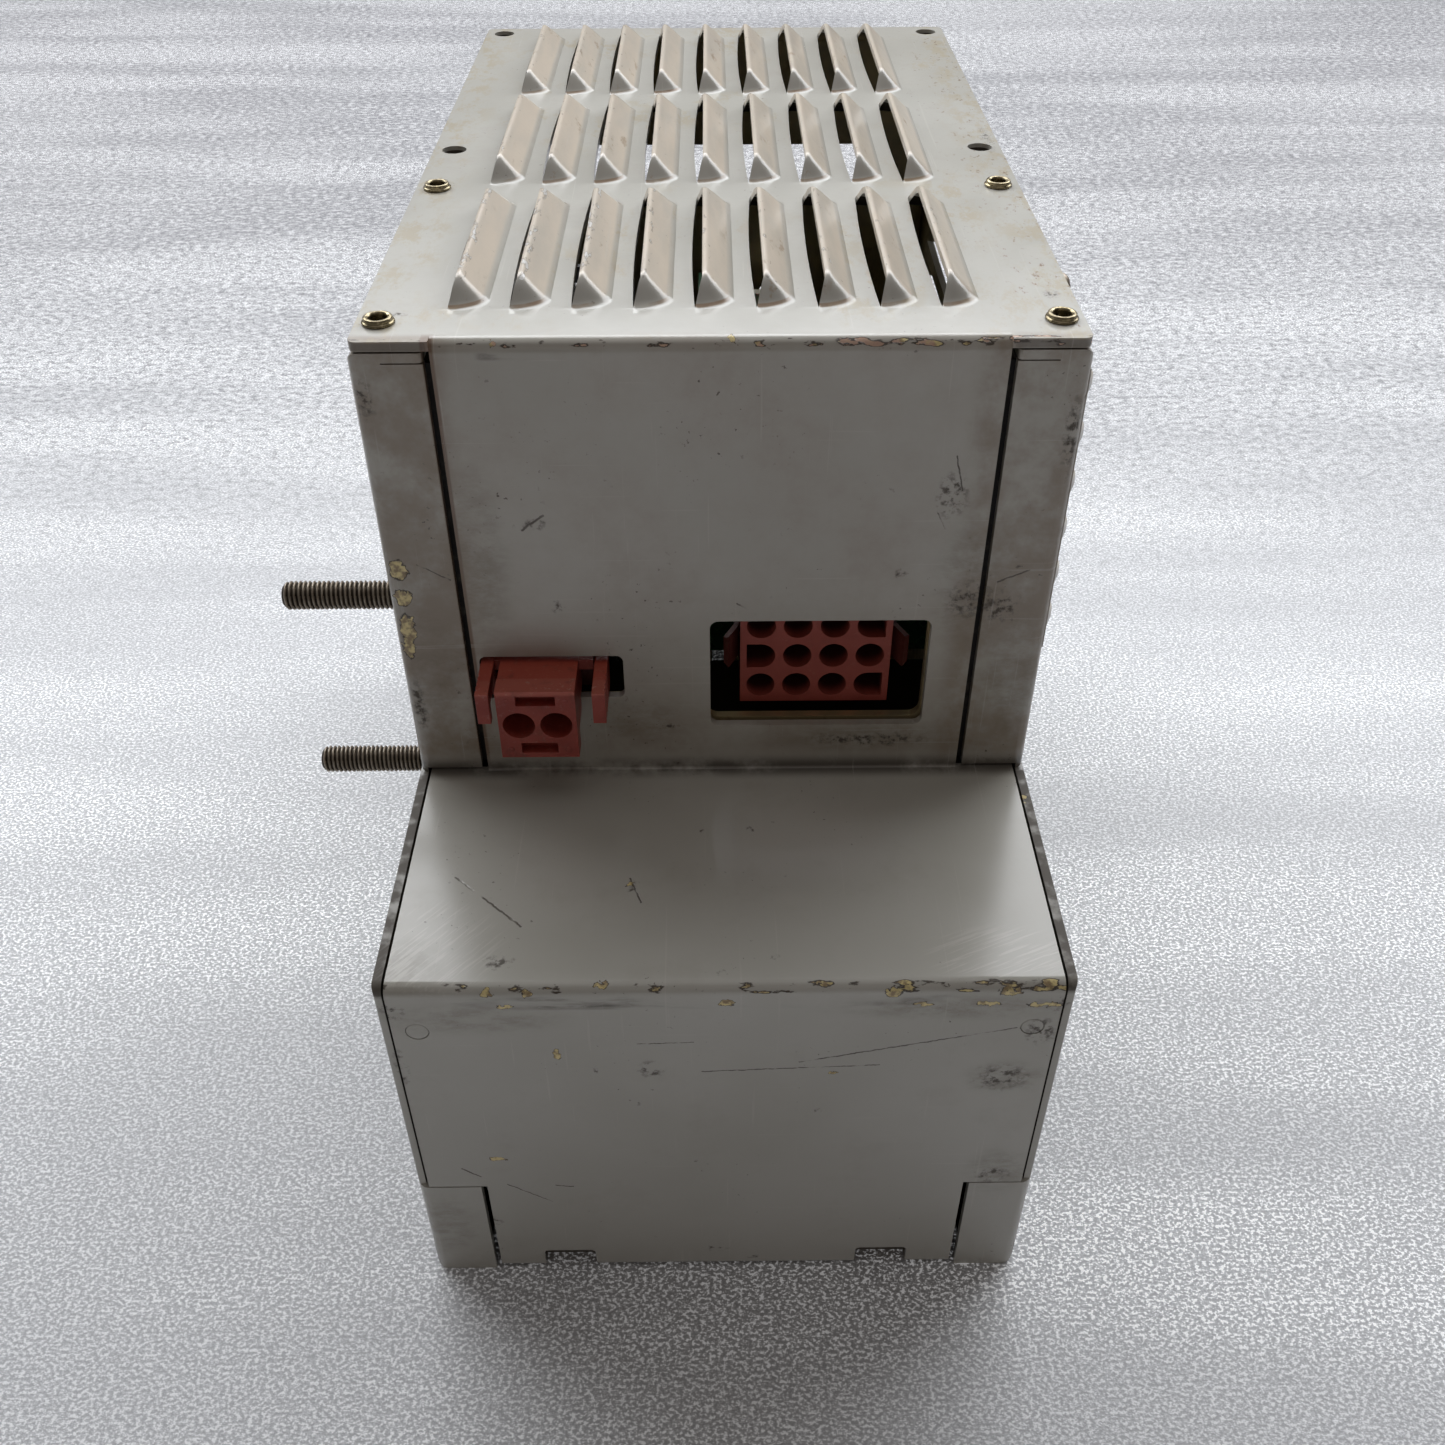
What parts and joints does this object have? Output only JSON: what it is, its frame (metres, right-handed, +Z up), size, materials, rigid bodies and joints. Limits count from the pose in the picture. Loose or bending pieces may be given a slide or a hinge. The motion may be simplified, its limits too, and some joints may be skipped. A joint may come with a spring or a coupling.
{
  "type": "servo drive",
  "caption": "Stepped sheet-metal servo drive cassette with louvred top and side, mounting studs, a latched power plug and a square-grid header.",
  "frame": {"origin": "centre of the base, on the underside of the bottom plate", "axes": "+X to the right seen from the front, +Y from the front panel to the rear, +Z up"},
  "size_m": [0.133, 0.2274, 0.1667],
  "materials": {
    "painted_sheet": "semi-gloss warm grey enamel, worn and chipped",
    "zinc_sheet": "yellow chromated zinc on steel sheet",
    "brass": "satin",
    "steel": "dull brownish zinc",
    "red_plastic": "brick red moulded plastic",
    "circuit_board": "green solder resist on glass laminate",
    "heat_sink_aluminium": "as extruded",
    "black_plastic": "satin moulded",
    "pale_plastic": "satin moulded",
    "capacitor_sleeve": "shrunk vinyl sleeve",
    "copper_winding": "enamelled copper wire",
    "lead_insulation": "vinyl insulation",
    "nylon": "natural nylon"
  },
  "bodies": {
    "drive": {"front_cover": "painted_sheet", "left_side_wall": "painted_sheet", "right_side_wall": "painted_sheet", "front_rivet_left": "painted_sheet", "front_rivet_right": "painted_sheet", "bottom_plate": "zinc_sheet", "rear_panel": "zinc_sheet", "connector_bracket": "zinc_sheet", "capacitor_clamp": "zinc_sheet", "rivet_bush_front_left": "brass", "rivet_bush_front_right": "brass", "rivet_bush_rear_left": "brass", "rivet_bush_rear_right": "brass", "connector_spacer_left": "brass", "connector_spacer_right": "brass", "mounting_stud_upper": "steel", "mounting_stud_lower": "steel", "side_screw": "steel", "bottom_screw_1": "steel", "bottom_screw_2": "steel", "bottom_screw_3": "steel", "bottom_screw_4": "steel", "rear_screw_1": "steel", "rear_screw_2": "steel", "rear_screw_3": "steel", "rear_screw_4": "steel", "signal_header": "red_plastic", "header_ear_left": "red_plastic", "header_ear_right": "red_plastic", "power_socket": "red_plastic", "connector_board": "circuit_board", "power_board": "circuit_board", "control_board": "circuit_board", "heat_sink": "heat_sink_aluminium", "power_module_1": "black_plastic", "power_module_2": "black_plastic", "power_module_3": "black_plastic", "rectifier_module": "black_plastic", "current_sensor_1": "black_plastic", "current_sensor_2": "black_plastic", "processor": "black_plastic", "memory_chip_1": "black_plastic", "memory_chip_2": "black_plastic", "relay": "pale_plastic", "bus_connector": "pale_plastic", "link_capacitor_1": "capacitor_sleeve", "link_capacitor_2": "capacitor_sleeve", "link_capacitor_3": "capacitor_sleeve", "line_choke": "copper_winding", "capacitor_lead": "lead_insulation", "socket_lead": "lead_insulation", "board_spacer_1": "nylon", "board_spacer_2": "nylon", "board_spacer_3": "nylon", "board_spacer_4": "nylon"},
    "plug": {"power_plug": "red_plastic"},
    "latch_left": {"plug_latch_left": "red_plastic"},
    "latch_right": {"plug_latch_right": "red_plastic"}
  },
  "joints": [
    {"name": "plug_pull", "type": "slide", "parent": "drive", "child": "plug", "axis": [0, -1, 0], "range_m": [0, 0.018]},
    {"name": "latch_left_squeeze", "type": "hinge", "parent": "plug", "child": "latch_left", "pos_m": [-0.0398, -0.0607, 0.1024], "axis": [0, 0, 1], "range_deg": [0, 4], "stiffness_Nm_per_rad": 0.02},
    {"name": "latch_right_squeeze", "type": "hinge", "parent": "plug", "child": "latch_right", "pos_m": [-0.0205, -0.0607, 0.1024], "axis": [0, 0, -1], "range_deg": [0, 12], "stiffness_Nm_per_rad": 0.02}
  ]
}
